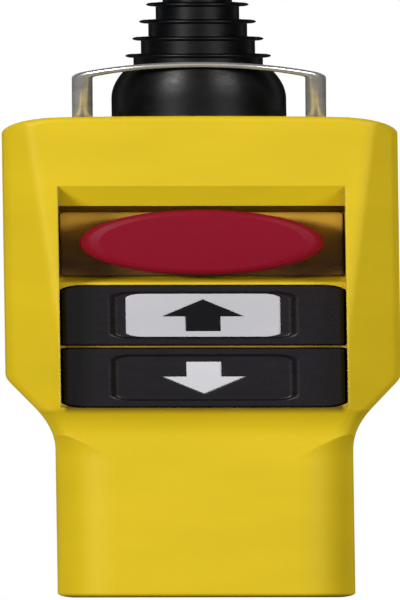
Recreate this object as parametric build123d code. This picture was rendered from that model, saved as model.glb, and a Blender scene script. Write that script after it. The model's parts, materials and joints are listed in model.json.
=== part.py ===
from build123d import *
import math
import os

# Pendant control station: two direction keys below a recessed emergency stop, hung from its cable.
# Millimetres, +Z up, the front looks along -Y. The origin is on the cable's axis, level with the
# middle of the housing's top. The two shells part at the plane Y = 0, which holds the cable's axis.

# ---------------------------------------------------------------- driving dimensions
# Fits
running_gap = 0.05           # radial, for a pin or stem that turns or slides in its hole
press_gap = 0.02             # radial, for a piece pressed, screwed or moulded into another
passing_gap = 0.2            # radial, round a screw, plunger or stem that passes through freely
seat_gap = 0.3               # between pieces that rest near each other
key_gap = 0.4                # between a key and the window it moves in
overshoot = 1.0              # how far a cut starts outside the face that it opens

# Emergency stop: mushroom head, stem, and the bushing that guides it
estop_diameter = 35.1
estop_head_height = 8.0
estop_face_diameter = 29.6   # the nearly flat disc inside the rounded rim
estop_face_dome = 0.3
estop_rim_fall = 0.8         # from the edge of the disc to the side, before the rim is rounded
estop_rim_radius = 2.4
estop_crown = 2.0            # left in front of the stem's socket
estop_travel = 4.0
estop_head_clearance = 0.5   # between the pressed head and what is behind it
estop_hub_width = 2.4
estop_hub_length = 2.4
estop_stem_diameter = 8.0
estop_collar_width = 1.7
estop_collar_thickness = 1.2
estop_barrel_diameter = 22.0
estop_bezel_width = 2.2      # how far the bezel stands out from the barrel
estop_bezel_height = 2.2
estop_bezel_chamfer = 0.6
estop_well_width = 3.2       # round the stem, inside the bezel
estop_well_depth = 3.4
estop_web_thickness = 2.2
estop_spring_length = 4.0    # pressed
estop_seal_thickness = 0.8
estop_plate_thickness = 2.0
estop_plate_corner = 1.2
estop_nut_width = 2.8
estop_nut_thickness = 3.0
estop_nut_notches = 8
estop_nut_notch_width = 2.6
estop_nut_notch_depth = 1.2
estop_side_gap = 3.05        # between the mushroom head and each cheek of the recess
estop_top_gap = 2.15
estop_bottom_gap = 4.15

# Keys
up_key_height = 32.9         # height of each key's window
down_key_height = 32.5
key_outer_corner = 3.6       # top corners of the upper key's window, bottom ones of the lower key's
key_inner_corner = 0.8       # the corners at the divider
key_travel = 4.0
key_wall = 1.8
key_front_wall = 2.4
key_edge_radius = 0.6
key_dish_width = 27.0        # shallow dish in the face of each key
key_dish_margin = 3.3        # above and below the dish
key_dish_corner = 3.4
key_dish_depth = 0.8
key_dish_slope = 1.0         # width of the dish's sloped border
key_ledge_thickness = 1.4
key_ledge_reach = 1.65       # how far the ledges pass behind the walls of the well
key_ledge_gap = 0.2
key_ledge_setback = 4.6      # from the key's ends to the ends of its ledges
key_setback = 0.2            # how far the keys' faces are behind the face of the ridge
key_divider = 1.0            # thin rib of the front shell between the two keys
key_divider_setback = 1.0    # how far the rib's front is behind the faces of the keys
key_ridge = 1.2              # rib between the emergency stop's niche and the upper key
plunger_diameter = 5.6
plunger_socket_depth = 5.5
plunger_socket_wall = 1.8
plunger_reach = 1.5          # how far the plunger stands in its contact block at rest
legend_width = 22.2
legend_height = 23.2
legend_thickness = 0.6
legend_corner = 2.5
legend_proud = 0.15
arrow_width = 11.8
arrow_head_height = 9.2
arrow_stem_width = 5.0
arrow_height = 17.2
arrow_thickness = 0.3

# Recess in the face of the head
recess_top = 37.8            # from the top of the housing to the upper edge of the sloped ceiling
ceiling_height = 10.8
ceiling_depth = 5.0
shadow_slot_height = 3.4
shadow_slot_depth = 4.0
niche_depth = 16.0           # from the face of the head to the niche's floor
niche_lip_rise = 3.6         # the niche's lower wall slopes down to the front by this much
guard_depth = 5.6            # from the face of the head to the front of the ridge above the keys
recess_wall = 2.2

# Housing
cheek_width = 7.7            # from the recess to the outside of the head
housing_height = 260.0
head_front = 26.0            # from the parting plane to the face of the head
head_back = 21.0
waist_step = 7.0             # how much the grip stands in from the head, at each side
face_step = 6.5              # at the front
back_step = 3.0              # and at the back
top_dome = 1.3
top_corner_radius = 9.0
waist_above_keys = 16.2      # the sides start to close in this far above the keys' lower end
waist_length = 27.0
waist_upper_radius = 20.0
waist_lower_radius = 90.0
brow_above_keys = 2.0        # the face starts to fall back this far above the keys' lower end
brow_length = 9.0
brow_radius = 3.0
throat_radius = 26.0
back_slope_lead = 10.0       # the back starts to close in this far above the sides
back_slope_length = 40.0
back_slope_radius = 90.0
bevel_width = 3.5            # slanted bevel of each side at the top, seen from the front
bevel_growth = 0.037         # how much wider the bevel gets for each unit further down
bevel_angle = 38.0           # between the bevel and the face
front_edge_radius = 2.8
grip_edge_radius = 8.0       # the grip's front edges are rounder than those of the head
grip_edge_end = 17.0         # their rounding starts to run out this far below the waist
run_out_radius = 45.0
run_out_angle = 60.0
back_edge_radius = 8.0
foot_edge_radius = 2.5
least_front_radius = 1.0     # roundings inside the hollow housing
least_back_radius = 1.5
least_foot_radius = 0.8
wall = 2.6
gasket_thickness = 1.0
gasket_setback = 0.5
gasket_width = 1.7

# Screws that close the housing, with their bosses and inserts
screw_diameter = 3.0
screw_head_diameter = 5.6
screw_head_height = 2.4
screw_head_chamfer = 0.5
screw_head_level = 5.0       # how far behind the parting plane the heads sit
screw_head_gap = 0.4
screw_tip_room = 6.0         # blind hole beyond each insert
screw_edge_distance = 3.2    # from the rounding of the back to the middle of a screw
insert_diameter = 4.6
insert_length = 7.0
boss_wall = 1.6
top_screw_depth = 24.0
foot_screw_rise = 14.0

# Cable boot
boot_base_diameter = 25.1
boot_straight_height = 9.5   # the bell is cylindrical up to here
boot_shoulder_diameter = 21.2
boot_shoulder_height = 24.8
boot_bell_height = 27.2
boot_core_diameter = 18.6    # of the first section above the bell
boot_core_step = 2.2         # how much thinner each section is than the one below it
boot_tip_diameter = 10.0
boot_tip_length = 5.9        # above the highest fin
boot_fin_count = 5
boot_fin_pitch = 9.24
boot_first_fin = 32.5
boot_fin_diameter = 20.9     # of the lowest fin
boot_fin_step = 2.06         # how much smaller each fin is than the one below it
boot_fin_thickness = 2.2
boot_fin_root = 3.2
cable_hole_diameter = 8.0
boot_neck_step = 2.0         # how far the neck in the housing's top stands in from the bell
boot_flange_step = 0.9       # how far the flange below the housing's top stands out from the bell
boot_flange_thickness = 3.0
boot_seat_depth = 0.3

# Suspension bail
bail_wire_diameter = 3.0
bail_leg_gap = 2.7           # between each leg and the boot
bail_top = 27.7              # height of the wire's centre at the top of the arch
bail_arch_drop = 5.8         # from the top of the arch to its corners
bail_corner_radius = 3.0
bail_foot_length = 6.6
bail_pivot_depth = 5.5
bail_swing = 38.0
journal_wall = 2.2
journal_gap = 0.4            # from the bend of the wire to its journal

# Cable clamp inside the housing
clamp_depth = 18.0
clamp_height = 7.0
clamp_thickness = 1.6
clamp_screw_spacing = 21.0
clamp_screw_length = 10.0    # behind the parting plane

# Contact blocks and their carrier
carrier_thickness = 2.4
carrier_corner = 2.0
carrier_clearance = 1.2      # between a pressed key and the carrier
carrier_side_gap = 0.4       # from the carrier to the line of the recess
carrier_wall_gap = 0.6       # from the carrier's lower tab to the housing's wall
carrier_rise = 7.0           # how far the carrier reaches above the keys' windows
carrier_drop = 8.4           # and below them
carrier_screw_inset = 3.6
carrier_screw_length = 5.0
carrier_boss_radius = 2.9
block_depth = 13.0
block_width = 26.0
block_corner = 1.5
block_slot_width = 3.0
block_slot_depth = 1.2
estop_block_height = 29.0
key_block_height = 24.0
block_collar_width = 2.0     # round the bushing's barrel
terminal_step_height = 3.5   # the step at each end of a block, that its wires enter over
terminal_step_depth = 3.0
terminal_inset = 2.65
terminal_screw_diameter = 4.0
terminal_screw_length = 2.8
terminal_sink = 0.2          # how far a screw's face is below the step
terminal_slot_width = 0.8
terminal_slot_depth = 0.6
spring_wire = 0.8
spring_turns = 4.25
spring_sides = 8             # the wire's section is drawn with this many sides
spring_play = 1.2            # from a plunger to the middle of the wire

# ---------------------------------------------------------------- sizes and places that follow
head_face = -head_front
recess_half = estop_diameter / 2 + estop_side_gap
head_half = recess_half + cheek_width
grip_half = head_half - waist_step
grip_front = head_front - face_step
grip_back = head_back - back_step
foot_z = -housing_height

ceiling_end_z = -recess_top - ceiling_height
slot_bottom_z = ceiling_end_z - shadow_slot_height
estop_z = ceiling_end_z - estop_top_gap - estop_diameter / 2
niche_bottom_z = estop_z - estop_diameter / 2 - estop_bottom_gap
niche_lip_z = niche_bottom_z + niche_lip_rise
up_window_top = niche_bottom_z - key_ridge
up_window_bottom = up_window_top - up_key_height
down_window_top = up_window_bottom - key_divider
window_bottom = down_window_top - down_key_height
up_key_z = up_window_top - up_key_height / 2
down_key_z = down_window_top - down_key_height / 2
niche_floor_y = head_face + niche_depth
guard_y = head_face + guard_depth
niche_back_y = niche_floor_y + recess_wall       # inner face of the niche's floor, and end of the key wells

waist_top_z = window_bottom + waist_above_keys
waist_bottom_z = waist_top_z - waist_length
brow_z = window_bottom + brow_above_keys
back_slope_z = waist_top_z + back_slope_lead

screw_radius = screw_diameter / 2
screw_head_radius = screw_head_diameter / 2
boss_radius = insert_diameter / 2 + boss_wall
screw_spots = [
    (side * x, z)
    for x, z in (
        (head_half - back_edge_radius - screw_edge_distance, -top_screw_depth),
        (grip_half - back_edge_radius - screw_edge_distance / 2, waist_bottom_z - 2 * boss_radius),
        (grip_half - back_edge_radius - screw_edge_distance / 2, foot_z + foot_screw_rise),
    )
    for side in (-1, 1)
]

parts = {}


# ---------------------------------------------------------------- helpers
def along_y(radius, front, back, x=0.0, z=0.0):
    """A round bar along Y, from front to back."""
    middle = (front + back) / 2
    return Pos(x, middle, z) * Rot(90, 0, 0) * Cylinder(radius, back - front)


def block(x0, x1, y0, y1, z0, z1):
    """A box between two corners."""
    centre = Pos((x0 + x1) / 2, (y0 + y1) / 2, (z0 + z1) / 2)
    return centre * Box(x1 - x0, y1 - y0, z1 - z0)


def rounded_panel(width, height, radius, front, back, z):
    """A plate across Y with rounded corners, centred on X = 0 at height z."""
    face = Plane((0, front, z), x_dir=(1, 0, 0), z_dir=(0, 1, 0)) * RectangleRounded(width, height, radius)
    return extrude(face, back - front)


def turned_about_y(points, z):
    """A solid of revolution about the line along Y at height z, from (radius, y) points."""
    profile = make_face(Polyline(*[(r, y, 0) for r, y in points], close=True))
    return Pos(0, 0, z) * revolve(profile, Axis.Y)


def coil_spring(mean_radius, front, back, z):
    """A compression spring along Y, between its two seats."""
    height = back - front - spring_wire
    path = Helix(pitch=height / spring_turns, height=height, radius=mean_radius)
    section = Plane(path @ 0, z_dir=path % 0) * RegularPolygon(spring_wire / 2, spring_sides)
    spring = sweep(section, path, is_frenet=True)
    return Pos(0, back - spring_wire / 2, z) * Rot(90, 0, 0) * spring


def arrow(direction, front, z):
    """A block arrow in the X-Z plane, pointing up for direction 1 and down for -1."""
    tip = direction * arrow_height / 2
    shoulder = tip - direction * arrow_head_height
    half, stem_half = arrow_width / 2, arrow_stem_width / 2
    points = [
        (0, tip), (half, shoulder), (stem_half, shoulder), (stem_half, -tip),
        (-stem_half, -tip), (-stem_half, shoulder), (-half, shoulder),
    ]
    face = make_face(Polyline(*points, close=True))
    return extrude(Plane((0, front, z), x_dir=(1, 0, 0), z_dir=(0, -1, 0)) * face, -arrow_thickness)


# ---------------------------------------------------------------- the housing's form
def round_corners(face, corners):
    """Rounds the corners of an outline that is symmetric in X, from (x, y, radius) values."""
    for x, y, radius in corners:
        found = [v for v in face.vertices() if abs(abs(v.X) - abs(x)) < 0.01 and abs(v.Y - y) < 0.01]
        face = fillet(found, radius)
    return face


def front_outline(inset):
    """The housing seen from the front: a domed head, an S-shaped waist and a straight grip."""
    half, grip, top, foot = head_half - inset, grip_half - inset, -inset, foot_z + inset
    dome = ThreePointArc((-half, top - top_dome), (0, top), (half, top - top_dome))
    rest = Polyline(
        (half, top - top_dome), (half, waist_top_z), (grip, waist_bottom_z), (grip, foot),
        (-grip, foot), (-grip, waist_bottom_z), (-half, waist_top_z), (-half, top - top_dome),
    )
    corners = (
        (half, top - top_dome, top_corner_radius - inset),
        (half, waist_top_z, waist_upper_radius - inset),
        (grip, waist_bottom_z, waist_lower_radius + inset),
    )
    return round_corners(make_face(Curve() + [dome, rest]), corners)


def side_outline(inset):
    """The housing seen from the side: the head is deeper than the grip, front and back."""
    head, grip = head_front - inset, grip_front - inset
    head_rear, grip_rear = head_back - inset, grip_back - inset
    above, foot = top_corner_radius, foot_z + inset
    corners = (
        (-head, brow_z, brow_radius),
        (-grip, brow_z - brow_length, throat_radius),
        (grip_rear, back_slope_z - back_slope_length, back_slope_radius),
        (head_rear, back_slope_z, back_slope_radius),
    )
    points = [(-head, above), *[(y, z) for y, z, _ in corners[:2]], (-grip, foot)]
    points += [(grip_rear, foot), *[(y, z) for y, z, _ in corners[2:]], (head_rear, above)]
    return round_corners(make_face(Polyline(*points, close=True)), corners)


def bevel_plane(side, inset):
    """The slanted plane that cuts the front edge of one side of the head, and widens downwards."""
    slant = math.radians(bevel_angle)
    down = Vector(-side * bevel_growth, 0, -1)
    back = Vector(side * math.cos(slant), math.sin(slant), 0)
    outward = side * down.cross(back).normalized()
    return Plane(Vector(side * (head_half - bevel_width), head_face, 0) - outward * inset, z_dir=outward)


def is_seam(edge):
    """True for the straight edges along X or Y, which join tangent faces or cross the ends."""
    if edge.geom_type != GeomType.LINE:
        return False
    direction = edge.tangent_at(0.5)
    return abs(direction.X) > 0.999 or abs(direction.Y) > 0.999


def grip_corner(side, inset):
    """What rounds one long front edge of the grip: a straight run that curves outwards at its top."""
    centre_x, centre_y = side * (grip_half - grip_edge_radius), grip_edge_radius - grip_front
    foot = Vector(centre_x, centre_y, foot_z - grip_edge_radius)
    bend = Vector(centre_x, centre_y, waist_bottom_z - grip_edge_end)
    turn = math.radians(run_out_angle)
    outward = Vector(side, -1, 0).normalized() * run_out_radius * (1 - math.cos(turn))
    end = bend + outward + Vector(0, 0, run_out_radius * math.sin(turn))
    route = Line(foot, bend) + TangentArc(bend, end, tangent=(0, 0, 1))
    reach = 2 * grip_edge_radius
    section = Pos(side * reach / 2, -reach / 2) * Rectangle(reach, reach) - Circle(grip_edge_radius - inset)
    return sweep(Plane(foot) * section, route)


def housing_body(inset):
    """The housing's outer form, or the same form drawn in by inset, as one solid."""
    reach = 2 * (head_front + head_back)
    body = extrude(Plane.XZ * front_outline(inset), reach, both=True)
    body = body & extrude(Plane.YZ * side_outline(inset), reach, both=True)
    for side in (-1, 1):
        body = split(body, bisect_by=bevel_plane(side, inset), keep=Keep.BOTTOM)
    front_edges = [e for e in body.edges() if not is_seam(e) and e.center().Y < 0]
    body = fillet(front_edges, max(front_edge_radius - inset, least_front_radius))
    for side in (-1, 1):
        body -= grip_corner(side, inset)
    rear_level = grip_back - inset - seat_gap
    rear_edges = [e for e in body.edges() if not is_seam(e) and e.bounding_box().min.Y > rear_level]
    body = fillet(rear_edges, max(back_edge_radius - inset, least_back_radius))
    foot_level = foot_z + inset + running_gap
    foot_edges = [e for e in body.edges() if e.bounding_box().max.Z < foot_level]
    return fillet(foot_edges, max(foot_edge_radius - inset, least_foot_radius))


def recess_profile():
    """The recess seen from the side, open to the front: ceiling, shadow slot, niche and key guard."""
    opening_y = head_face - niche_depth
    slope = ceiling_height / ceiling_depth
    slot_y = niche_floor_y + shadow_slot_depth
    points = [
        (opening_y, ceiling_end_z + slope * (head_face + ceiling_depth - opening_y)),
        (head_face + ceiling_depth, ceiling_end_z), (slot_y, ceiling_end_z), (slot_y, slot_bottom_z),
        (niche_floor_y, slot_bottom_z), (niche_floor_y, niche_lip_z), (guard_y, niche_bottom_z),
        (guard_y, window_bottom), (opening_y, window_bottom),
    ]
    return make_face(Polyline(*points, close=True))


def key_panel(width, height, top_radius, bottom_radius, front, back, z, taper=0.0):
    """A plate across Y whose top corners and bottom corners have different roundings."""
    outline = Rectangle(width, height)
    for end, radius in ((-1, top_radius), (0, bottom_radius)):
        outline = fillet(outline.vertices().group_by(Axis.Y)[end], radius)
    plane = Plane((0, front, z), x_dir=(-1, 0, 0), z_dir=(0, 1, 0))
    return extrude(plane * outline, back - front, taper=taper)


outer_body = housing_body(0)
inner_body = housing_body(wall)
half_space = 2 * housing_height
front_half = block(-half_space, half_space, -half_space, -gasket_thickness / 2, -half_space, half_space)
rear_half = block(-half_space, half_space, gasket_thickness / 2, half_space, -half_space, half_space)

recess_cut = extrude(Plane.YZ * recess_profile(), recess_half, both=True)
recess_skin_profile = offset(recess_profile(), recess_wall, kind=Kind.INTERSECTION)
recess_skin = extrude(Plane.YZ * recess_skin_profile, recess_half + recess_wall, both=True)
well_skin = block(
    -recess_half - recess_wall, recess_half + recess_wall, head_face, niche_back_y,
    window_bottom - recess_wall, niche_bottom_z,
)

# ---------------------------------------------------------------- cable boot
boot_base_radius = boot_base_diameter / 2
boot_neck_radius = boot_base_radius - boot_neck_step
boot_flange_radius = boot_base_radius + boot_flange_step
dome_fall = top_dome * (boot_flange_radius / (head_half - wall)) ** 2
boot_flange_top = -wall - dome_fall - 2 * running_gap
boot_flange_bottom = boot_flange_top - boot_flange_thickness


def section_radius(i):
    """Radius of the boot's i-th straight section above the bell."""
    return max(boot_core_diameter - i * boot_core_step, boot_tip_diameter) / 2


def fin_level(i):
    """Height of the middle of the boot's i-th fin."""
    return boot_first_fin + i * boot_fin_pitch


def boot_fin(i):
    """Half of the i-th fin's section: thicker at its root, with a round edge."""
    z, edge = fin_level(i), (boot_fin_diameter - i * boot_fin_step) / 2
    root = (section_radius(i + 1) + cable_hole_diameter / 2) / 2
    half, root_half = boot_fin_thickness / 2, boot_fin_root / 2
    sides = Polyline(
        (edge - half, z + half), (root, z + root_half), (root, z - root_half), (edge - half, z - half)
    )
    tip = ThreePointArc(sides @ 1, (edge, z), sides @ 0)
    return make_face(Curve() + [sides, tip])


boot_top = fin_level(boot_fin_count - 1) + boot_tip_length


def make_boot():
    """A bell that grips the housing's top, and above it a sleeve that thins in steps, one at each fin."""
    hole = cable_hole_diameter / 2
    foot = Polyline(
        (hole, boot_top), (hole, boot_flange_bottom), (boot_flange_radius, boot_flange_bottom),
        (boot_flange_radius, boot_flange_top), (boot_neck_radius, boot_flange_top),
        (boot_neck_radius, -boot_seat_depth), (boot_base_radius, -boot_seat_depth),
        (boot_base_radius, boot_straight_height),
    )
    shoulder = (boot_shoulder_diameter / 2, boot_shoulder_height)
    bell = TangentArc(foot @ 1, shoulder, tangent=(0, 1))
    crown = TangentArc(bell @ 1, (section_radius(0), boot_bell_height), tangent=bell % 1)
    steps = [(section_radius(0), boot_bell_height)]
    for i in range(boot_fin_count):
        steps += [(section_radius(i), fin_level(i)), (section_radius(i + 1), fin_level(i))]
    # Sections that have reached the tip's diameter make no step
    steps = [p for i, p in enumerate(steps) if i == 0 or p != steps[i - 1]]
    sleeve = Polyline(*steps, (section_radius(boot_fin_count), boot_top), (hole, boot_top))
    face = make_face(Curve() + [foot, bell, crown, sleeve])
    for i in range(boot_fin_count):
        face += boot_fin(i)
    return revolve(Plane.XZ * face, Axis.Z)


parts["cable_boot"] = make_boot()

# ---------------------------------------------------------------- suspension bail
# The wire is drawn upright in its own plane and then leans forward from its feet onto the boot.
wire_radius = bail_wire_diameter / 2
bail_half = boot_base_radius + bail_leg_gap + wire_radius
bail_pivot_z = -bail_pivot_depth
bail_reach = boot_shoulder_diameter / 2 + wire_radius + seat_gap
bail_lean = math.degrees(math.atan2(bail_reach, bail_top - bail_pivot_z))
bail_stretch = 1 / math.cos(math.radians(bail_lean))
bail_foot_end = bail_half + bail_foot_length
journal_start = bail_half + bail_corner_radius + journal_gap
journal_end = bail_foot_end + passing_gap


def make_bail():
    top = (bail_top - bail_pivot_z) * bail_stretch
    corner = top - bail_arch_drop * bail_stretch
    right = Polyline((bail_foot_end, 0), (bail_half, 0), (bail_half, corner))
    arch = ThreePointArc((bail_half, corner), (0, top), (-bail_half, corner))
    left = Polyline((-bail_half, corner), (-bail_half, 0), (-bail_foot_end, 0))
    wire = Wire([*right.edges(), *arch.edges(), *left.edges()])
    bends = [v for v in wire.vertices() if abs(abs(v.X) - bail_half) < 0.01]
    wire = wire.fillet_2d(bail_corner_radius, bends)
    section = Plane(origin=(bail_foot_end, 0, 0), z_dir=(-1, 0, 0)) * Circle(wire_radius)
    bail = sweep(section, wire)
    return Pos(0, 0, bail_pivot_z) * Rot(90 + bail_lean, 0, 0) * bail


parts["suspension_bail"] = make_bail()


def bail_room(side):
    """The slot in the housing's top that one leg swings in, and the groove that its foot turns in."""
    furthest = math.radians(bail_lean + bail_swing)
    front = -bail_pivot_depth * math.tan(furthest) - wire_radius / math.cos(furthest) - seat_gap
    back = wire_radius + seat_gap
    width = bail_wire_diameter + 2 * seat_gap
    slot = Pos(side * bail_half, (front + back) / 2) * SlotOverall(back - front, width, rotation=90)
    room = Pos(0, 0, bail_pivot_z - wire_radius - seat_gap) * extrude(slot, 2 * bail_pivot_depth)
    groove_length = bail_foot_end + seat_gap - bail_half
    groove = Pos(side * (bail_half + groove_length / 2), 0, bail_pivot_z) * Rot(0, 90, 0)
    return room + groove * Cylinder(wire_radius + running_gap, groove_length)


# ---------------------------------------------------------------- cable clamp
cable_cradle_radius = cable_hole_diameter / 2 + seat_gap
clamp_z = -clamp_depth
clamp_post_radius = clamp_height / 2


def make_clamp():
    """A pressed saddle: two flat ears and a half-round bridge over the cable."""
    half = clamp_screw_spacing / 2 + clamp_post_radius
    bridge = cable_cradle_radius + clamp_thickness
    ears = Rectangle(2 * half, clamp_thickness, align=(Align.CENTER, Align.MAX))
    profile = ears + Circle(bridge)
    profile -= Circle(cable_cradle_radius)
    profile -= Rectangle(4 * half, 2 * bridge, align=(Align.CENTER, Align.MIN))
    clamp = extrude(Pos(0, 0, clamp_z - clamp_height / 2) * profile, clamp_height)
    for side in (-1, 1):
        x = side * clamp_screw_spacing / 2
        clamp -= along_y(screw_radius + passing_gap, -2 * bridge, bridge, x, clamp_z)
    return clamp


def pan_screw(x, z, seat, tip, facing):
    """A pan-head screw along Y: seat is under its head, and facing is -1 for a head at the front."""
    outer = seat + facing * screw_head_height
    shank = along_y(screw_radius, *sorted((seat, tip)), x, z)
    head = along_y(screw_head_radius, *sorted((seat, outer)), x, z)
    rim = head.edges().filter_by(GeomType.CIRCLE).group_by(Axis.Y)[-1 if facing > 0 else 0]
    head = chamfer(rim, screw_head_chamfer)
    hexagon = Plane((x, outer, z), x_dir=(1, 0, 0), z_dir=(0, facing, 0)) * RegularPolygon(screw_radius, 6)
    return shank + head - extrude(hexagon, -screw_head_height / 2)


parts["cable_clamp"] = make_clamp()
parts["cable_clamp_screws"] = Compound(
    [
        pan_screw(side * clamp_screw_spacing / 2, clamp_z, -clamp_thickness, clamp_screw_length, -1)
        for side in (-1, 1)
    ]
)

# ---------------------------------------------------------------- levels of the works behind the face
key_back_y = niche_back_y + key_ledge_gap + key_ledge_thickness      # rear edge of a key at rest
carrier_front_y = key_back_y + key_travel + carrier_clearance
carrier_back_y = carrier_front_y + carrier_thickness
carrier_half = recess_half - carrier_side_gap
carrier_tab_half = grip_half - wall - carrier_wall_gap
carrier_top_z = up_window_top + carrier_rise
carrier_bottom_z = window_bottom - carrier_drop
carrier_spots = [
    (side * (half - carrier_screw_inset), z)
    for half, z in (
        (carrier_half, carrier_top_z - carrier_screw_inset),
        (carrier_tab_half, carrier_bottom_z + carrier_screw_inset),
    )
    for side in (-1, 1)
]
carrier_screw_tip = carrier_front_y - carrier_screw_length

barrel_radius = estop_barrel_diameter / 2
stem_radius = estop_stem_diameter / 2
nut_radius = barrel_radius + estop_nut_width
nut_back_y = niche_back_y + estop_nut_thickness

# ---------------------------------------------------------------- front shell
def gland_land(side):
    """The strip of one shell's edge that reaches the parting plane round the boot's neck."""
    y0, y1 = sorted((0, side * gasket_thickness))
    return block(-bail_half, bail_half, y0, y1, -2 * wall, wall)


def journals():
    """Blocks below the top that the bail's feet turn in."""
    depth = wire_radius + journal_wall
    blocks = [
        block(*sorted((side * journal_start, side * journal_end)), -depth, depth, bail_pivot_z - depth, 0)
        for side in (-1, 1)
    ]
    return (Part() + blocks) & inner_body


def cut_top(shell):
    """Opens the top for the boot's neck and seat, and for the bail's legs and feet."""
    shell -= Pos(0, 0, -wall) * Cylinder(boot_neck_radius + running_gap, 4 * wall)
    shell -= Pos(0, 0, -boot_seat_depth) * Cylinder(
        boot_base_radius + running_gap, 4 * wall, align=(Align.CENTER, Align.CENTER, Align.MIN)
    )
    for side in (-1, 1):
        shell -= bail_room(side)
    return shell


def make_front_shell():
    cavity = inner_body - recess_skin - well_skin
    shell = (outer_body & (front_half + gland_land(-1))) - cavity
    bosses = [along_y(boss_radius, -half_space, -gasket_thickness / 2, x, z) for x, z in screw_spots]
    bosses += [along_y(carrier_boss_radius, -half_space, carrier_front_y, x, z) for x, z in carrier_spots]
    shell += Part() + [b & inner_body - recess_cut for b in bosses]
    shell += journals() & front_half
    shell -= recess_cut

    # Windows of the keys, and the rib between them, which stands back from their faces
    for top, height, top_radius, bottom_radius in (
        (up_window_top, up_key_height, key_outer_corner, key_inner_corner),
        (down_window_top, down_key_height, key_inner_corner, key_outer_corner),
    ):
        shell -= key_panel(
            2 * recess_half, height, top_radius, bottom_radius,
            head_face - niche_depth, niche_back_y + overshoot, top - height / 2,
        )
    shell -= block(
        -recess_half, recess_half, head_face, guard_y + key_setback + key_divider_setback,
        down_window_top, up_window_bottom,
    )

    # Hole of the emergency stop, with a flat seat for its nut
    hole_front_y, hole_back_y = niche_floor_y - overshoot, niche_back_y + overshoot
    shell -= along_y(barrel_radius + passing_gap, hole_front_y, hole_back_y, 0, estop_z)
    shell -= along_y(nut_radius + seat_gap, niche_back_y, half_space, 0, estop_z)

    insert_end_y = -insert_length - gasket_thickness / 2
    for x, z in screw_spots:
        shell -= along_y(insert_diameter / 2 + press_gap, insert_end_y, overshoot, x, z)
        shell -= along_y(screw_radius + passing_gap, insert_end_y - screw_tip_room, overshoot, x, z)
    for x, z in carrier_spots:
        shell -= along_y(
            screw_radius + press_gap, carrier_screw_tip - seat_gap, carrier_front_y + overshoot, x, z
        )
    return cut_top(shell)


parts["front_shell"] = make_front_shell()


# ---------------------------------------------------------------- rear shell
def make_rear_shell():
    shell = (outer_body & (rear_half + gland_land(1))) - inner_body
    well_radius = screw_head_radius + screw_head_gap
    posts = [along_y(well_radius + boss_wall, gasket_thickness / 2, half_space, x, z) for x, z in screw_spots]
    clamp_posts = [
        along_y(clamp_post_radius, 0, half_space, side * clamp_screw_spacing / 2, clamp_z) for side in (-1, 1)
    ]
    cradle = block(
        -clamp_screw_spacing / 2, clamp_screw_spacing / 2, gasket_thickness / 2, half_space,
        clamp_z - clamp_height / 4, clamp_z + clamp_height / 4,
    )
    shell += Part() + [p & inner_body for p in (*posts, *clamp_posts, cradle)]
    shell += journals() & rear_half
    shell -= Pos(0, 0, clamp_z) * Cylinder(cable_cradle_radius, 2 * clamp_height)
    for x, z in screw_spots:
        shell -= along_y(screw_radius + passing_gap, -overshoot, half_space, x, z)
        shell -= along_y(well_radius, screw_head_level, half_space, x, z)
    for side in (-1, 1):
        x = side * clamp_screw_spacing / 2
        shell -= along_y(screw_radius + press_gap, -overshoot, clamp_screw_length + seat_gap, x, clamp_z)
    return cut_top(shell)


parts["rear_shell"] = make_rear_shell()

# ---------------------------------------------------------------- gasket, screws and inserts
gasket_slice = block(
    -half_space, half_space, -gasket_thickness / 2, gasket_thickness / 2, -half_space, half_space
)
gasket_outer = housing_body(gasket_setback)
gasket_inner = housing_body(gasket_setback + gasket_width)
gasket = (gasket_outer & gasket_slice) - gasket_inner
parts["housing_gasket"] = cut_top(gasket - gland_land(-1) - gland_land(1))

parts["housing_screws"] = Compound(
    [pan_screw(x, z, screw_head_level, -insert_length, 1) for x, z in screw_spots]
)
parts["housing_inserts"] = Compound(
    [
        along_y(insert_diameter / 2, -insert_length - gasket_thickness / 2, -gasket_thickness / 2, x, z)
        - along_y(screw_radius + press_gap, -2 * insert_length, overshoot, x, z)
        for x, z in screw_spots
    ]
)

# ---------------------------------------------------------------- emergency stop
plate_y = niche_floor_y - estop_plate_thickness
seal_y = plate_y - estop_seal_thickness
bezel_radius = barrel_radius + estop_bezel_width
bezel_front_y = seal_y - estop_bezel_height
well_radius = stem_radius + estop_well_width
web_front_y = bezel_front_y + estop_well_depth
web_back_y = web_front_y + estop_web_thickness
collar_radius = stem_radius + estop_collar_width
collar_front_y = web_back_y + running_gap
collar_back_y = web_back_y + estop_collar_thickness
estop_block_y = collar_back_y + estop_travel + estop_spring_length
spring_space_radius = collar_radius + estop_head_clearance
head_radius = estop_diameter / 2
head_rear_y = plate_y - estop_travel - estop_head_clearance
head_front_y = head_rear_y - estop_head_height
head_pocket_y = bezel_front_y - estop_travel - estop_head_clearance
head_pocket_radius = bezel_radius + 2 * estop_head_clearance
hub_radius = stem_radius + estop_hub_width
socket_y = head_front_y + estop_crown
stem_bore = stem_radius + running_gap


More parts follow.
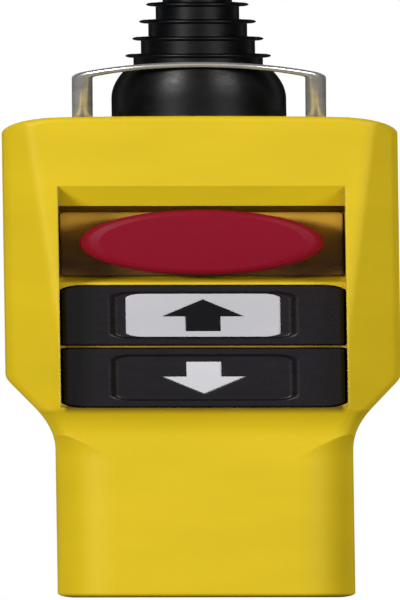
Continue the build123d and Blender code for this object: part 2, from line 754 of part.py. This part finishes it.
def make_estop_head():
    """The mushroom head: a faintly domed disc, a rounded rim, and a hollow back with a hub for the stem."""
    disc_y = head_front_y + estop_face_dome
    rim_y = disc_y + estop_rim_fall
    disc_radius = estop_face_diameter / 2
    dome = ThreePointArc((disc_radius, disc_y), (0, head_front_y), (-disc_radius, disc_y)).trim(0, 0.5)
    rest = Polyline(
        (disc_radius, disc_y), (head_radius, rim_y), (head_radius, head_rear_y),
        (head_pocket_radius, head_rear_y), (head_pocket_radius, head_pocket_y), (hub_radius, head_pocket_y),
        (hub_radius, head_pocket_y + estop_hub_length), (stem_bore, head_pocket_y + estop_hub_length),
        (stem_bore, socket_y), (0, socket_y), (0, head_front_y),
    )
    face = make_face(Curve() + [dome, rest])
    rim = [v for v in face.vertices() if abs(v.X - head_radius) < 0.01 and abs(v.Y - rim_y) < 0.01]
    face = fillet(rim, estop_rim_radius)
    return Pos(0, 0, estop_z) * revolve(face, Axis.Y)


parts["estop_head"] = make_estop_head()
parts["estop_stem"] = turned_about_y(
    [
        (0, socket_y + seat_gap), (stem_radius, socket_y + seat_gap), (stem_radius, collar_front_y),
        (collar_radius, collar_front_y), (collar_radius, collar_back_y), (stem_radius, collar_back_y),
        (stem_radius, estop_block_y + overshoot), (0, estop_block_y + overshoot),
    ],
    estop_z,
)
parts["estop_bushing"] = turned_about_y(
    [
        (well_radius, bezel_front_y), (bezel_radius - estop_bezel_chamfer, bezel_front_y),
        (bezel_radius, bezel_front_y + estop_bezel_chamfer), (bezel_radius, seal_y),
        (barrel_radius, seal_y), (barrel_radius, estop_block_y), (spring_space_radius, estop_block_y),
        (spring_space_radius, web_back_y), (stem_bore, web_back_y), (stem_bore, web_front_y),
        (well_radius, web_front_y),
    ],
    estop_z,
)
parts["estop_seal"] = turned_about_y(
    [
        (barrel_radius + running_gap, seal_y), (bezel_radius - passing_gap, seal_y),
        (bezel_radius - passing_gap, plate_y), (barrel_radius + running_gap, plate_y),
    ],
    estop_z,
)
parts["estop_spring"] = coil_spring(
    (stem_radius + spring_space_radius) / 2, collar_back_y + seat_gap, estop_block_y, estop_z
)

plate_top_z = slot_bottom_z
plate_bottom_z = niche_lip_z + seat_gap
parts["estop_plate"] = rounded_panel(
    2 * (recess_half - seat_gap), plate_top_z - plate_bottom_z, estop_plate_corner,
    plate_y, niche_floor_y, (plate_top_z + plate_bottom_z) / 2,
) - along_y(barrel_radius + passing_gap, plate_y - overshoot, niche_floor_y + overshoot, 0, estop_z)


def make_estop_nut():
    """A round nut with spanner notches, behind the niche's floor."""
    front, back = niche_back_y - overshoot, nut_back_y + overshoot
    nut = along_y(nut_radius, niche_back_y, nut_back_y, 0, estop_z)
    nut -= along_y(barrel_radius + running_gap, front, back, 0, estop_z)
    half = estop_nut_notch_width / 2
    notch = block(-half, half, front, back, nut_radius - estop_nut_notch_depth, 2 * nut_radius)
    for i in range(estop_nut_notches):
        nut -= Pos(0, 0, estop_z) * Rot(0, 360 * i / estop_nut_notches, 0) * notch
    return nut


parts["estop_nut"] = make_estop_nut()


# ---------------------------------------------------------------- contact blocks
terminal_radius = terminal_screw_diameter / 2
terminal_columns = (-block_width / 4, block_width / 4)


def contact_block(z, height, front):
    """A snap-action switch: a body with a shrouded terminal at each end and a slot across its back."""
    back, far = front + block_depth, front + 2 * block_depth
    body = rounded_panel(block_width, height, block_corner, front, back, z)
    step_y = back - terminal_step_depth
    bottom_y = step_y - terminal_sink - terminal_screw_length
    for side in (-1, 1):
        step_z = z + side * (height / 2 - terminal_step_height)
        body -= block(-block_width, block_width, step_y, far, *sorted((step_z, z + side * height)))
        for x in terminal_columns:
            body -= along_y(
                terminal_radius + running_gap, bottom_y, far, x, z + side * (height / 2 - terminal_inset)
            )
    half = block_slot_width / 2
    return body - block(-block_width, block_width, back - block_slot_depth, far, z - half, z + half)


def terminal_screws(z, height, front):
    """The four clamp screws of one contact block, just below the steps that they are driven from."""
    back = front + block_depth - terminal_step_depth - terminal_sink
    half = terminal_slot_width / 2
    screws = []
    for side in (-1, 1):
        for x in terminal_columns:
            screw_z = z + side * (height / 2 - terminal_inset)
            screw = along_y(terminal_radius, back - terminal_screw_length, back, x, screw_z)
            slot = block(
                x - terminal_radius - overshoot, x + terminal_radius + overshoot,
                back - terminal_slot_depth, back + overshoot, screw_z - half, screw_z + half,
            )
            screws.append(screw - slot)
    return screws


block_collar_y = nut_back_y + passing_gap
stem_room_y = estop_block_y + estop_travel + 2 * overshoot
parts["estop_contact_block"] = (
    contact_block(estop_z, estop_block_height, estop_block_y)
    + (
        along_y(barrel_radius + block_collar_width, block_collar_y, estop_block_y, 0, estop_z)
        - along_y(barrel_radius + running_gap, block_collar_y - overshoot, estop_block_y, 0, estop_z)
    )
    - along_y(stem_radius + passing_gap, estop_block_y - overshoot, stem_room_y, 0, estop_z)
)

# ---------------------------------------------------------------- keys
plunger_radius = plunger_diameter / 2
key_face_y = guard_y + key_setback
dish_floor_y = key_face_y + key_dish_depth
plunger_head_y = key_face_y + key_front_wall
boss_back_y = plunger_head_y + plunger_socket_depth
plunger_tip_y = carrier_back_y + plunger_reach
legend_y = dish_floor_y - legend_proud


def make_key(z, height, top_radius, bottom_radius):
    """A hollow key cap with a shallow dish, side ledges that hold it in its well, and a plunger socket."""
    width, tall = 2 * (recess_half - key_gap), height - 2 * key_gap
    cap = key_panel(width, tall, top_radius, bottom_radius, key_face_y, key_back_y, z)
    cap = fillet(cap.faces().sort_by(Axis.Y)[0].edges(), key_edge_radius)
    cap -= rounded_panel(
        width - 2 * key_wall, tall - 2 * key_wall, key_wall,
        key_face_y + key_front_wall, key_back_y + overshoot, z,
    )
    dish_slant = math.degrees(math.atan2(key_dish_slope, key_dish_depth))
    cap -= key_panel(
        key_dish_width, tall - 2 * key_dish_margin, key_dish_corner, key_dish_corner,
        key_face_y, dish_floor_y, z, taper=dish_slant,
    )
    ledge_half = tall / 2 - key_ledge_setback
    for side in (-1, 1):
        ends = sorted((side * (recess_half - key_gap - key_wall / 2), side * (recess_half + key_ledge_reach)))
        cap += block(*ends, key_back_y - key_ledge_thickness, key_back_y, z - ledge_half, z + ledge_half)
    cap += along_y(plunger_radius + plunger_socket_wall, plunger_head_y, boss_back_y, 0, z)
    return cap - along_y(plunger_radius + press_gap, plunger_head_y, boss_back_y + overshoot, 0, z)


outer_radius, inner_radius = key_outer_corner - key_gap, key_inner_corner
for name, direction, key_z, height, corners in (
    ("up", 1, up_key_z, up_key_height, (outer_radius, inner_radius)),
    ("down", -1, down_key_z, down_key_height, (inner_radius, outer_radius)),
):
    key = make_key(key_z, height, *corners)
    if name == "up":
        legend = rounded_panel(
            legend_width, legend_height, legend_corner, legend_y, legend_y + legend_thickness, key_z
        )
        key_arrow = arrow(direction, legend_y, key_z)
        key -= legend
        parts["up_legend_plate"] = legend - key_arrow
    else:
        key_arrow = arrow(direction, dish_floor_y, key_z)
        key -= key_arrow
    parts[name + "_key"] = key
    parts[name + "_arrow"] = key_arrow
    parts[name + "_plunger"] = along_y(plunger_radius, plunger_head_y, plunger_tip_y, 0, key_z)
    parts[name + "_spring"] = coil_spring(
        plunger_radius + spring_play, boss_back_y + seat_gap, carrier_front_y, key_z
    )
    plunger_room_y = plunger_tip_y + key_travel + overshoot
    parts[name + "_contact_block"] = contact_block(key_z, key_block_height, carrier_back_y) - along_y(
        plunger_radius + passing_gap, carrier_back_y - overshoot, plunger_room_y, 0, key_z
    )


# ---------------------------------------------------------------- carrier and terminal screws
def make_carrier():
    """The plate behind the keys that guides their plungers and carries their contact blocks."""
    front, back = carrier_front_y - overshoot, carrier_back_y + overshoot
    plate = Part()
    for half, top, bottom in (
        (carrier_half, carrier_top_z, window_bottom),
        (carrier_tab_half, window_bottom + 2 * carrier_corner, carrier_bottom_z),
    ):
        plate += rounded_panel(
            2 * half, top - bottom, carrier_corner, carrier_front_y, carrier_back_y, (top + bottom) / 2
        )
    for z in (up_key_z, down_key_z):
        plate -= along_y(plunger_radius + running_gap, front, back, 0, z)
    for x, z in carrier_spots:
        plate -= along_y(screw_radius + passing_gap, front, back, x, z)
    return plate


parts["key_carrier"] = make_carrier()
parts["carrier_screws"] = Compound(
    [pan_screw(x, z, carrier_back_y, carrier_screw_tip, 1) for x, z in carrier_spots]
)
parts["terminal_screws"] = Compound(
    [
        *terminal_screws(estop_z, estop_block_height, estop_block_y),
        *terminal_screws(up_key_z, key_block_height, carrier_back_y),
        *terminal_screws(down_key_z, key_block_height, carrier_back_y),
    ]
)

# ---------------------------------------------------------------- export
os.makedirs("parts", exist_ok=True)
for name, shape in parts.items():
    export_step(shape, os.path.join("parts", name + ".step"))
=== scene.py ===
import json
import math
import bpy
from mathutils import Matrix, Vector


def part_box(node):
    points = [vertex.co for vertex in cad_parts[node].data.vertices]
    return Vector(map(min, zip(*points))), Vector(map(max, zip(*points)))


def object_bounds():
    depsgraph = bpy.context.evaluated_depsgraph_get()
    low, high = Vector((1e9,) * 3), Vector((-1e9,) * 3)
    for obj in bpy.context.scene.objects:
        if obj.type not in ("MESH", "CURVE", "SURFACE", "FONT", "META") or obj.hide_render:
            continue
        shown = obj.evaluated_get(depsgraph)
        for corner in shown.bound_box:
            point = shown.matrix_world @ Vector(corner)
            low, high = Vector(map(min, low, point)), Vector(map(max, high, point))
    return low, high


# Pendant control station: the looks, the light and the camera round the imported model.
# Metres, +Z up, the front looks along -Y.

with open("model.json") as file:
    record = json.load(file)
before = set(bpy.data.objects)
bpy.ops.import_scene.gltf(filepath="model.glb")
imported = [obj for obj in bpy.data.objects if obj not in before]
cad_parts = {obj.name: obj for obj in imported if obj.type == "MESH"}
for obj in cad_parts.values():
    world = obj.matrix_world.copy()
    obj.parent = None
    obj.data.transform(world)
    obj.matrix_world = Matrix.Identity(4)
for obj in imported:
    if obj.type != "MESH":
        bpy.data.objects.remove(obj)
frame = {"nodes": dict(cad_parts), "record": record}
cad_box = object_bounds()
nodes = frame["nodes"]
scene = bpy.context.scene

# ---------------------------------------------------------------- driving values
# Textures
grain_size = 0.00045         # pitch of the moulded texture on the housing
boot_grain_size = 0.0009
blotch_size = 0.03           # of the slow changes of a moulded colour
mark_size = 0.004            # of rubbed places, stains and uneven gloss
drawing_size = 0.0004        # of the drawing marks in bright metal
edge_rounding = 0.0005       # how far the shading rounds a moulded edge
key_edge_rounding = 0.0006
pole_radius = 0.0028         # of the levelled spot in the middle of the stop
pole_fade = 0.0008

# Painted shade: below and between the keys, on the niche's lower lip and in the niche's lower half
key_shade_reach = 0.0038     # how far the painted shade goes below the lower key
key_shade_share = 0.95
bar_shade_share = 0.8
lip_shade_share = 0.55
lip_shade_start = 0.0017     # above the upper key's top
lip_shade_full = 0.0028
side_fade = 0.0006           # where the painted shade ends beside the keys
seam_fade = 0.0003           # where it ends between the keys
shade_fade = 0.0005          # where it ends elsewhere
shade_front = 0.006          # in front of the keys' rear edge, where it is full
shade_back = 0.004           # and where it ends
niche_shade_share = 0.87
niche_shade_rise = 0.006     # how far the niche's painted shade lies above its lower edge and above its middle

# Main picture
picture_height = 0.3240      # what the main picture shows, from its lower edge to its upper edge
picture_width = 0.0574
picture_top = 0.0626         # height of its upper edge above the top of the housing
picture_roll = math.radians(-0.24)
picture_yaw = math.radians(-0.35)
picture_shift = -0.00028     # how far the picture's middle is from the station's axis
picture_aspect = 400 / 600
view_scale = 0.40            # height that the camera shows in the other, unstretched views
camera_distance = 1.0
camera_clip = (0.05, 10)

# Floor and light
floor_half = 3.0
floor_glow = 0.6             # share of plain white in the floor that the camera sees
floor_fade = (0.35, 0.9)     # distances between which the floor turns plain white
sky_strength = 0.06          # diffuse light from above
ground_strength = 0.01       # diffuse light from below
sky_fade = (-0.2, 0.4)       # heights of the direction between which one turns into the other
lamp_elevation = math.radians(20)
lamp_distance = 3.5
lamps = {
    "left_light": {"turn": -37, "size": (1.2, 0.8), "power": 91.0},
    "right_light": {"turn": 38, "size": (1.6, 1.0), "power": 55.0},
    "back_left_light": {"turn": -135, "size": (1.6, 1.0), "power": 46.0, "glint": False},
    "back_right_light": {"turn": 135, "size": (1.6, 1.0), "power": 52.0, "glint": False},
    "back_light": {"turn": 180, "size": (1.6, 1.0), "power": 44.0},
}
card_distance = 0.9          # of the cards that only reflections show
card_height = 0.8


# ---------------------------------------------------------------- node graphs
def srgb(r, g, b):
    """A linear colour from three 0-255 screen values."""
    linear = [((c / 255 + 0.055) / 1.055) ** 2.4 if c > 10 else c / 255 / 12.92 for c in (r, g, b)]
    return (*linear, 1.0)


def scaled(colour, factor):
    """The colour made lighter or deeper by the factor, at most white."""
    return (*(min(1.0, c * factor) for c in colour[:3]), 1.0)


class Graph:
    """Short calls to build a material's or a world's nodes."""

    def __init__(self, tree):
        self.tree = tree

    def add(self, kind, settings=None, **inputs):
        """A node with its settings and inputs: values, or sockets to link from. i2 is input number 2."""
        node = self.tree.nodes.new(kind)
        for name, value in (settings or {}).items():
            setattr(node, name, value)
        for name, value in inputs.items():
            key = int(name[1:]) if name[0] == "i" and name[1:].isdigit() else name.replace("_", " ")
            self.put(node.inputs[key], value)
        return node

    def put(self, socket, value):
        if isinstance(value, bpy.types.NodeSocket):
            self.tree.links.new(value, socket)
        else:
            socket.default_value = value

    def noise(self, where, size, detail=2.0, roughness=0.5):
        """Noise with features of that size, in metres."""
        kind = "ShaderNodeTexNoise"
        return self.add(kind, Vector=where, Scale=1 / size, Detail=detail, Roughness=roughness).outputs[0]

    def ramp(self, value, low, high, out_low, out_high):
        """Maps low..high to out_low..out_high, and clamps it."""
        limits = {"From_Min": low, "From_Max": high, "To_Min": out_low, "To_Max": out_high}
        return self.add("ShaderNodeMapRange", Value=value, **limits).outputs[0]

    def band(self, value, start, full, end, gone, share):
        """Rises from 0 at start to the share at full, stays until end, and is 0 again at gone."""
        rise = self.ramp(value, start, full, 0.0, share)
        return self.maths("MULTIPLY", rise, self.ramp(value, end, gone, 1.0, 0.0))

    def mix(self, share, first, second):
        """A colour between two."""
        node = self.add("ShaderNodeMix", {"data_type": "RGBA"}, Factor=share, i6=first, i7=second)
        return node.outputs[2]

    def maths(self, operation, first, second):
        return self.add("ShaderNodeMath", {"operation": operation}, i0=first, i1=second).outputs[0]

    def vector_maths(self, operation, *inputs):
        node = self.add("ShaderNodeVectorMath", {"operation": operation})
        for socket, value in zip(node.inputs, inputs):
            self.put(socket, value)
        return node.outputs["Value"]

    def axes(self, where):
        """The x, y and z of a place."""
        return self.add("ShaderNodeSeparateXYZ", Vector=where).outputs[:3]


def new_material(name, **shader):
    """A node material: its graph, its Principled shader and object coordinates."""
    material = bpy.data.materials.new(name)
    material.use_nodes = True
    graph = Graph(material.node_tree)
    principled = material.node_tree.nodes["Principled BSDF"]
    for key, value in shader.items():
        graph.put(principled.inputs[key.replace("_", " ")], value)
    where = graph.add("ShaderNodeTexCoord").outputs["Object"]
    return material, graph, principled, where


def occlusion_shade(graph, reach):
    """1 in corners and gaps narrower than the reach, 0 on open faces: the mask of the shade painted there."""
    openness = graph.add("ShaderNodeAmbientOcclusion", {"samples": 6}, Distance=reach).outputs["AO"]
    return graph.ramp(openness, 0.35, 0.85, 1.0, 0.0)


def rubbed_edges(graph, rounded, marks, wear):
    """The wear along the edges, which is where the rounded normal leaves the face's own."""
    own = graph.add("ShaderNodeNewGeometry").outputs["Normal"]
    alike = graph.vector_maths("DOT_PRODUCT", rounded, own)
    at_edge = graph.ramp(alike, 0.985, 0.9, 0.0, wear)
    return graph.maths("MULTIPLY", at_edge, graph.ramp(marks, 0.35, 0.6, 0.3, 1.0))


def moulded(
    name, colour, roughness, specular=0.3, grain=grain_size, depth=0.00002, edge=edge_rounding, wear=0.0,
    painted_shade=0.0, shade_reach=0.003, shade_colour=None, extra_shade=None, normal=None,
):
    """Moulded plastic or rubber: fine grain, slightly uneven colour and gloss, painted shade in the corners, rubbed
    edges.
    """
    material, graph, shader, where = new_material(name, Specular_IOR_Level=specular)
    fine = graph.noise(where, grain, detail=3.0)
    blotches = graph.noise(where, blotch_size)
    marks = graph.noise(where, mark_size, detail=5.0, roughness=0.65)
    surface = graph.mix(graph.ramp(blotches, 0.3, 0.7, 0.0, 1.0), scaled(colour, 0.95), scaled(colour, 1.05))

    bump = graph.add("ShaderNodeBump", Height=fine, Strength=1.0, Distance=depth)
    graph.put(shader.inputs["Normal"], bump.outputs[0])
    if edge:
        rounded = graph.add("ShaderNodeBevel", {"samples": 6}, Radius=edge).outputs[0]
        graph.put(bump.inputs["Normal"], rounded)
    if normal:
        graph.put(bump.inputs["Normal"], normal(graph, where))
    if wear:
        worn = (*(c + 0.12 * (1 - c) for c in colour[:3]), 1.0)
        surface = graph.mix(rubbed_edges(graph, rounded, marks, wear), surface, worn)
    if painted_shade:
        # Painted shade: the colour turns darker in corners and gaps by ambient occlusion, and where the extra painted
        # shade lies.
        shade_mask = graph.maths("MULTIPLY", occlusion_shade(graph, shade_reach), painted_shade)
        shade_mask = graph.maths("MAXIMUM", shade_mask, extra_shade(graph, where))
        shade_mask = graph.maths("MULTIPLY", shade_mask, graph.ramp(marks, 0.3, 0.6, 0.85, 1.0))
        surface = graph.mix(shade_mask, surface, shade_colour)
    graph.put(shader.inputs["Base Color"], surface)

    gloss = graph.ramp(fine, 0.3, 0.7, roughness - 0.04, roughness + 0.04)
    uneven = graph.ramp(marks, 0.35, 0.65, -0.04, 0.04)
    graph.put(shader.inputs["Roughness"], graph.maths("ADD", gloss, uneven))
    return material


def key_painted_shade(graph, where):
    """Painted shade below the lower key, on the bar between the keys and on the niche's lower lip, on the front only.
    """
    low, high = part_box("down_key")
    upper_low, upper_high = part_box("up_key")
    plate_low, plate_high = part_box("estop_plate")
    x, y, z = graph.axes(where)
    side = graph.maths("ABSOLUTE", x, 0.0)
    beside = graph.ramp(side, plate_high.x - side_fade, plate_high.x, 1.0, 0.0)
    in_front = graph.ramp(y, high.y - shade_front, high.y - shade_back, 1.0, 0.0)
    bands = (
        (low.z - key_shade_reach, low.z, low.z + shade_fade, low.z + 2 * shade_fade, key_shade_share),
        (
            high.z - 2 * seam_fade, high.z - seam_fade,
            upper_low.z + seam_fade, upper_low.z + 2 * seam_fade, bar_shade_share,
        ),
        (
            upper_high.z + lip_shade_start, upper_high.z + lip_shade_full,
            plate_low.z, plate_low.z + shade_fade, lip_shade_share,
        ),
    )
    below, between, lip = (graph.band(z, *limits) for limits in bands)
    share = graph.maths("ADD", graph.maths("ADD", below, between), lip)
    return graph.maths("MULTIPLY", share, graph.maths("MULTIPLY", beside, in_front))


def niche_painted_shade(graph, where):
    """Painted shade in the lower half of the stop's niche, darker towards the bottom: the stop head's shadow."""
    low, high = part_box("estop_plate")
    middle_z = (low.z + high.z) / 2
    z = graph.axes(where)[2]
    return graph.ramp(z, low.z + niche_shade_rise, middle_z + niche_shade_rise, niche_shade_share, 0.0)


def level_pole(graph, where):
    """The stop's own normals, but level round the middle of its dome, where the triangles meet in one point."""
    low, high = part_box("estop_head")
    distance = graph.vector_maths("DISTANCE", where, (0.0, low.y, (low.z + high.z) / 2))
    share = graph.ramp(distance, pole_radius, pole_radius + pole_fade, 1.0, 0.0)
    own = graph.add("ShaderNodeNewGeometry").outputs["Normal"]
    return graph.add("ShaderNodeMix", {"data_type": "VECTOR"}, i0=share, i4=own, i5=(0.0, -1.0, 0.0)).outputs[1]


def drawn_metal(name, colour, roughness, metallic=1.0):
    """Bright metal with fine drawing marks."""
    material, graph, shader, where = new_material(name, Metallic=metallic)
    marks = graph.noise(where, drawing_size, detail=4.0)
    stain = graph.ramp(graph.noise(where, mark_size), 0.35, 0.65, 0.0, 1.0)
    graph.put(shader.inputs["Base Color"], graph.mix(stain, scaled(colour, 0.8), colour))
    graph.put(shader.inputs["Roughness"], graph.ramp(marks, 0.3, 0.7, roughness - 0.06, roughness + 0.08))
    bump = graph.add("ShaderNodeBump", Height=marks, Strength=0.3, Distance=0.000005)
    graph.put(shader.inputs["Normal"], bump.outputs[0])
    return material


# ---------------------------------------------------------------- finishes, by the record's material slots
smooth = 0.000004            # depth of the texture on printed pieces
finishes = {
    # The housing's dark orange mix colour is painted shade, in its corners and gaps and round the keys.
    "housing_yellow": moulded(
        "housing_yellow", srgb(227, 195, 24), 0.48, specular=0.25, wear=0.5, painted_shade=0.45, shade_reach=0.002,
        shade_colour=srgb(84, 52, 18), extra_shade=key_painted_shade,
    ),
    # The plate's red-brown mix colour is painted shade with a painted reflection of the red stop, in its corners and
    # the niche's lower half.
    "plate_yellow": moulded(
        "plate_yellow", srgb(214, 168, 52), 0.4, painted_shade=0.5, shade_colour=srgb(60, 17, 8), extra_shade=niche_painted_shade,
    ),
    "boot_rubber": moulded(
        "boot_rubber", srgb(6, 7, 9), 0.36, grain=boot_grain_size, depth=0.00001, specular=0.2,
    ),
    "bail_steel": drawn_metal("bail_steel", srgb(222, 218, 214), 0.19, metallic=0.7),
    "stop_red": moulded(
        "stop_red", srgb(136, 14, 37), 0.45, depth=0.00001, specular=0.1, edge=0, normal=level_pole,
    ),
    "key_black": moulded("key_black", srgb(21, 18, 22), 0.3, edge=key_edge_rounding),
    "legend_white": moulded("legend_white", srgb(200, 199, 205), 0.3, depth=smooth, specular=0.2),
    "arrow_black": moulded("arrow_black", srgb(18, 18, 22), 0.4, depth=smooth, specular=0.1),
    "arrow_white": moulded("arrow_white", srgb(214, 213, 219), 0.35, depth=smooth, specular=0.2),
    "black_plastic": moulded("black_plastic", srgb(40, 40, 42), 0.5),
    "block_grey": moulded("block_grey", srgb(178, 180, 182), 0.5),
    "carrier_grey": moulded("carrier_grey", srgb(148, 150, 152), 0.5),
    "plunger_white": moulded("plunger_white", srgb(228, 228, 222), 0.4),
    "seal_rubber": moulded("seal_rubber", srgb(34, 34, 35), 0.6),
    "zinc_steel": drawn_metal("zinc_steel", srgb(200, 202, 200), 0.35),
    "spring_steel": drawn_metal("spring_steel", srgb(180, 180, 184), 0.3),
    "insert_brass": drawn_metal("insert_brass", srgb(214, 180, 110), 0.3),
}

for subpart in frame["record"]["subparts"]:
    mesh = nodes[subpart["node"]].data
    mesh.materials.clear()
    mesh.materials.append(finishes[subpart["material_slot"]])


# ---------------------------------------------------------------- floor, cards, world and lamps
def flat_piece(name, verts, faces, material):
    mesh = bpy.data.meshes.new(name)
    mesh.from_pydata(verts, [], faces)
    mesh.materials.append(material)
    piece = bpy.data.objects.new(name, mesh)
    scene.collection.objects.link(piece)
    return piece


def make_floor():
    """A pale plane that the station stands on. It takes the shadow, and is dull for all but the camera."""
    material, graph, shader, where = new_material("floor_paper", Roughness=0.9, Specular_IOR_Level=0.0)
    seen = graph.add("ShaderNodeLightPath").outputs["Is Camera Ray"]
    pale = graph.mix(graph.noise(where, 0.002), (0.93, 0.93, 0.93, 1.0), (0.97, 0.97, 0.97, 1.0))
    dull = (0.15, 0.15, 0.15, 1.0)
    graph.put(shader.inputs["Base Color"], graph.mix(seen, dull, pale))
    far = graph.ramp(graph.vector_maths("LENGTH", where), *floor_fade, 0.0, 1.0)
    share = graph.maths("MULTIPLY", graph.maths("MAXIMUM", far, floor_glow), seen)
    white = graph.add("ShaderNodeEmission", Color=(1, 1, 1, 1), Strength=1.0)
    mixed = graph.add("ShaderNodeMixShader", i0=share, i1=shader.outputs[0], i2=white.outputs[0])
    graph.put(material.node_tree.nodes["Material Output"].inputs["Surface"], mixed.outputs[0])
    z = cad_box[0].z
    corners = [(x * floor_half, y * floor_half, z) for x, y in ((-1, -1), (1, -1), (1, 1), (-1, 1))]
    floor = flat_piece("floor", corners, [(0, 1, 2, 3)], material)


def make_card(name, turns, roof, colour, light):
    """Cards round the station that only reflections show: half width over distance, by the turn from the front."""
    foot = Vector((0, 0, cad_box[0].z))
    rise = Vector((0, 0, card_height))
    verts = []
    for turn, share in turns.items():
        angle = math.radians(turn)
        outward = Vector((math.sin(angle), -math.cos(angle), 0)) * card_distance
        along = Vector((math.cos(angle), math.sin(angle), 0)) * card_distance * share
        verts += [foot + outward + edge for edge in (-along, along, along + rise, rise - along)]
    if roof:
        corners = ((-1, -1), (1, -1), (1, 1), (-1, 1))
        verts += [foot + rise + Vector((x, y, 0)) * card_distance for x, y in corners]
    finish = {"Roughness": 0.9, "Specular_IOR_Level": 0.0, "Emission_Strength": light}
    material, graph, shader, where = new_material(name, **finish)
    woven = graph.mix(graph.noise(where, 0.002), scaled(colour, 0.8), colour)
    graph.put(shader.inputs["Base Color"], woven)
    graph.put(shader.inputs["Emission Color"], woven)
    card = flat_piece(name, verts, [tuple(range(i, i + 4)) for i in range(0, len(verts), 4)], material)
    card.visible_camera = False
    card.visible_diffuse = False
    card.visible_shadow = False


def make_world():
    """White where the camera and reflections look, and a faint sky for the rest."""
    world = bpy.data.worlds.new("studio")
    world.use_nodes = True
    graph = Graph(world.node_tree)
    seen = graph.add("ShaderNodeLightPath").outputs
    direct = graph.maths("MAXIMUM", seen["Is Camera Ray"], seen["Is Glossy Ray"])
    direct = graph.maths("MAXIMUM", direct, seen["Is Transmission Ray"])
    height = graph.axes(graph.add("ShaderNodeTexCoord").outputs["Generated"])[2]
    ambient = graph.ramp(height, *sky_fade, ground_strength, sky_strength)
    strength = graph.add("ShaderNodeMix", {"data_type": "FLOAT"}, i0=direct, i2=ambient, i3=1.0)
    background = world.node_tree.nodes["Background"]
    background.inputs["Color"].default_value = (1, 1, 1, 1)
    graph.put(background.inputs["Strength"], strength.outputs[0])
    scene.world = world


def make_lamp(name, turn, size, power, glint=True):
    """A soft box that looks at the station's middle, at that turn from the front. Reflections show it if it glints."""
    middle = (cad_box[0] + cad_box[1]) / 2
    azimuth = math.radians(turn)
    level = math.cos(lamp_elevation) * lamp_distance
    height = middle.z + math.sin(lamp_elevation) * lamp_distance
    place = Vector((math.sin(azimuth) * level, -math.cos(azimuth) * level, height))
    lamp = bpy.data.lights.new(name, "AREA")
    lamp.shape = "RECTANGLE"
    lamp.size, lamp.size_y = size
    lamp.energy = power
    holder = bpy.data.objects.new(name, lamp)
    scene.collection.objects.link(holder)
    holder.location = place
    holder.rotation_euler = (middle - place).to_track_quat("-Z", "Y").to_euler()
    holder.visible_glossy = glint


make_floor()
make_card("dark_flags", {90: 0.7, 180: 1.2, 270: 0.7}, True, (0.03, 0.03, 0.03, 1.0), 0.0)
make_card("dim_card", {0: 0.4}, False, (0.3, 0.3, 0.3, 1.0), 1.0)
make_world()
for name, lamp in lamps.items():
    make_lamp(name, **lamp)


# ---------------------------------------------------------------- camera
def slanted_axis(x, z, slope):
    """A unit vector that a camera looking along (-slope, 1, 0) sees as (x, z)."""
    size = 1 + slope**2
    y = (x * slope + math.sqrt((x * slope) ** 2 + size * (1 - x**2 - z**2))) / size
    return Vector((x - slope * y, y, z))


def make_camera():
    """A camera in front of the station whose own picture is drawn out sideways; other views are plain."""
    data = bpy.data.cameras.new("camera")
    data.type = "ORTHO"
    data.ortho_scale = view_scale
    data.clip_start, data.clip_end = camera_clip
    camera = bpy.data.objects.new("camera", data)
    rig = bpy.data.objects.new("camera_rig", None)
    scene.collection.objects.link(camera)
    scene.collection.objects.link(rig)
    across = picture_width / (view_scale * picture_aspect)
    upright = picture_height / view_scale
    turn, rise = math.cos(picture_roll), math.sin(picture_roll)
    slope = math.tan(picture_yaw)
    x_axis = slanted_axis(across * turn, across * rise, slope)
    y_axis = slanted_axis(-upright * rise, upright * turn, slope)
    z_axis = Vector((slope, -1, 0)).normalized()
    place = Vector((picture_shift + slope * camera_distance, -camera_distance, picture_top - picture_height / 2))
    slanted = Matrix((x_axis, y_axis, z_axis)).transposed().to_4x4()
    slanted.translation = place
    camera.parent = rig
    camera.matrix_parent_inverse = slanted
    scene.camera = camera


make_camera()
scene.view_settings.view_transform = "Standard"
